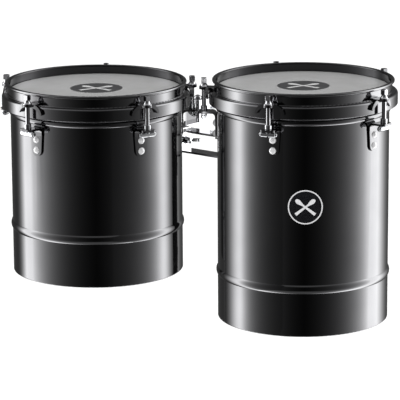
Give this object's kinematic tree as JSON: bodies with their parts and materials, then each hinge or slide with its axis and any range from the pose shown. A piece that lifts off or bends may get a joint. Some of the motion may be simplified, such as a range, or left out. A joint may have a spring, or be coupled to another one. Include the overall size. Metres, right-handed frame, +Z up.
{
  "type": "timbales",
  "caption": "Pair of steel-shell drums of unequal depth with black mirror finish, tunable hoops and grey heads, joined by brackets to a stand rod clamp.",
  "frame": {"origin": "on the stand rod's axis, at the lower mouth of the rod clamp's bore", "axes": "+X from the shallow drum towards the deep drum, -Y towards the player's front, +Z up along the drums and the stand rod"},
  "size_m": [0.4755, 0.3031, 0.2883],
  "materials": {
    "shell_steel": "black nickel plate over steel, mirror polished",
    "hoop_steel": "black nickel plate over steel, mirror polished",
    "head_film": "grey translucent drumhead film, semi-gloss",
    "flesh_aluminium": "plain aluminium channel",
    "badge_metal": null,
    "hardware_nickel": "black nickel plate, polished",
    "bracket_steel": "nickel plate, polished",
    "chrome_fastener": "bright chrome"
  },
  "bodies": {
    "left_drum": {"left_shell": "shell_steel", "left_drumhead": "head_film", "left_lug_1": "hardware_nickel", "left_lug_2": "hardware_nickel", "left_lug_3": "hardware_nickel", "left_lug_4": "hardware_nickel", "left_lug_5": "hardware_nickel", "left_lug_nuts": "chrome_fastener", "left_lug_bolts": "chrome_fastener", "left_lug_bolt_nuts": "chrome_fastener", "left_arm_bolts": "chrome_fastener", "left_arm_bolt_nuts": "chrome_fastener", "left_mount_strap": "bracket_steel", "rod_clamp_body": "bracket_steel", "clamp_fixing_screws": "chrome_fastener", "pivot_nut": "chrome_fastener"},
    "right_drum": {"right_shell": "shell_steel", "right_drumhead": "head_film", "right_lug_1": "hardware_nickel", "right_lug_2": "hardware_nickel", "right_lug_3": "hardware_nickel", "right_lug_4": "hardware_nickel", "right_lug_5": "hardware_nickel", "right_lug_nuts": "chrome_fastener", "right_lug_bolts": "chrome_fastener", "right_lug_bolt_nuts": "chrome_fastener", "right_arm_bolts": "chrome_fastener", "right_arm_bolt_nuts": "chrome_fastener", "right_u_bracket": "bracket_steel", "right_badge": "badge_metal"},
    "left_hoop_set": {"left_hoop": "hoop_steel", "left_flesh_hoop": "flesh_aluminium", "left_claw_1": "hardware_nickel", "left_claw_2": "hardware_nickel", "left_claw_3": "hardware_nickel", "left_claw_4": "hardware_nickel", "left_claw_5": "hardware_nickel"},
    "left_rod_1": {"left_tension_rod_1": "chrome_fastener"},
    "left_rod_2": {"left_tension_rod_2": "chrome_fastener"},
    "left_rod_3": {"left_tension_rod_3": "chrome_fastener"},
    "left_rod_4": {"left_tension_rod_4": "chrome_fastener"},
    "left_rod_5": {"left_tension_rod_5": "chrome_fastener"},
    "right_hoop_set": {"right_hoop": "hoop_steel", "right_flesh_hoop": "flesh_aluminium", "right_claw_1": "hardware_nickel", "right_claw_2": "hardware_nickel", "right_claw_3": "hardware_nickel", "right_claw_4": "hardware_nickel", "right_claw_5": "hardware_nickel"},
    "right_rod_1": {"right_tension_rod_1": "chrome_fastener"},
    "right_rod_2": {"right_tension_rod_2": "chrome_fastener"},
    "right_rod_3": {"right_tension_rod_3": "chrome_fastener"},
    "right_rod_4": {"right_tension_rod_4": "chrome_fastener"},
    "right_rod_5": {"right_tension_rod_5": "chrome_fastener"},
    "wing_bolt": {"pivot_wing_bolt": "chrome_fastener"},
    "clamp_screw": {"rod_clamp_screw": "chrome_fastener"}
  },
  "joints": [
    {"name": "right_drum_tilt", "type": "hinge", "parent": "left_drum", "child": "right_drum", "pos_m": [-0.01281, -0.04732, -0.015], "axis": [0.809, -0.5878, 0], "range_deg": [-10, 8]},
    {"name": "left_hoop_slide", "type": "slide", "parent": "left_drum", "child": "left_hoop_set", "axis": [0, 0, 1], "range_m": [-0.002, 0.003]},
    {"name": "left_rod_1_turn", "type": "hinge", "parent": "left_hoop_set", "child": "left_rod_1", "pos_m": [-0.04367, -0.24941, 0.0785], "axis": [0, 0, 1], "range_deg": [-725, 1085]},
    {"name": "left_rod_2_turn", "type": "hinge", "parent": "left_hoop_set", "child": "left_rod_2", "pos_m": [0.00035, -0.11861, 0.0785], "axis": [0, 0, 1], "range_deg": [-725, 1085]},
    {"name": "left_rod_3_turn", "type": "hinge", "parent": "left_hoop_set", "child": "left_rod_3", "pos_m": [-0.11045, -0.03632, 0.0785], "axis": [0, 0, 1], "range_deg": [-725, 1085]},
    {"name": "left_rod_4_turn", "type": "hinge", "parent": "left_hoop_set", "child": "left_rod_4", "pos_m": [-0.22295, -0.11627, 0.0785], "axis": [0, 0, 1], "range_deg": [-725, 1085]},
    {"name": "left_rod_5_turn", "type": "hinge", "parent": "left_hoop_set", "child": "left_rod_5", "pos_m": [-0.18168, -0.24796, 0.0785], "axis": [0, 0, 1], "range_deg": [-725, 1085]},
    {"name": "right_hoop_slide", "type": "slide", "parent": "right_drum", "child": "right_hoop_set", "axis": [0, 0, 1], "range_m": [-0.002, 0.003]},
    {"name": "right_rod_1_turn", "type": "hinge", "parent": "right_hoop_set", "child": "right_rod_1", "pos_m": [0.09598, -0.26492, 0.0825], "axis": [0, 0, 1], "range_deg": [-725, 1085]},
    {"name": "right_rod_2_turn", "type": "hinge", "parent": "right_hoop_set", "child": "right_rod_2", "pos_m": [0.22775, -0.22387, 0.0825], "axis": [0, 0, 1], "range_deg": [-725, 1085]},
    {"name": "right_rod_3_turn", "type": "hinge", "parent": "right_hoop_set", "child": "right_rod_3", "pos_m": [0.22944, -0.08587, 0.0825], "axis": [0, 0, 1], "range_deg": [-725, 1085]},
    {"name": "right_rod_4_turn", "type": "hinge", "parent": "right_hoop_set", "child": "right_rod_4", "pos_m": [0.09871, -0.04162, 0.0825], "axis": [0, 0, 1], "range_deg": [-725, 1085]},
    {"name": "right_rod_5_turn", "type": "hinge", "parent": "right_hoop_set", "child": "right_rod_5", "pos_m": [0.01623, -0.15228, 0.0825], "axis": [0, 0, 1], "range_deg": [-725, 1085]},
    {"name": "wing_bolt_turn", "type": "hinge", "parent": "left_drum", "child": "wing_bolt", "pos_m": [-0.01281, -0.04732, -0.015], "axis": [0.809, -0.5878, 0], "range_deg": [-90, 720]},
    {"name": "clamp_screw_turn", "type": "hinge", "parent": "left_drum", "child": "clamp_screw", "pos_m": [0.0094, 0.01294, 0.014], "axis": [0.5878, 0.809, 0], "range_deg": [-90, 720]}
  ],
  "couplings": [
    {"joint": "left_rod_1_turn", "follows": "left_hoop_slide", "rad_per_m": 6283.2},
    {"joint": "left_rod_2_turn", "follows": "left_hoop_slide", "rad_per_m": 6283.2},
    {"joint": "left_rod_3_turn", "follows": "left_hoop_slide", "rad_per_m": 6283.2},
    {"joint": "left_rod_4_turn", "follows": "left_hoop_slide", "rad_per_m": 6283.2},
    {"joint": "left_rod_5_turn", "follows": "left_hoop_slide", "rad_per_m": 6283.2},
    {"joint": "right_rod_1_turn", "follows": "right_hoop_slide", "rad_per_m": 6283.2},
    {"joint": "right_rod_2_turn", "follows": "right_hoop_slide", "rad_per_m": 6283.2},
    {"joint": "right_rod_3_turn", "follows": "right_hoop_slide", "rad_per_m": 6283.2},
    {"joint": "right_rod_4_turn", "follows": "right_hoop_slide", "rad_per_m": 6283.2},
    {"joint": "right_rod_5_turn", "follows": "right_hoop_slide", "rad_per_m": 6283.2}
  ]
}
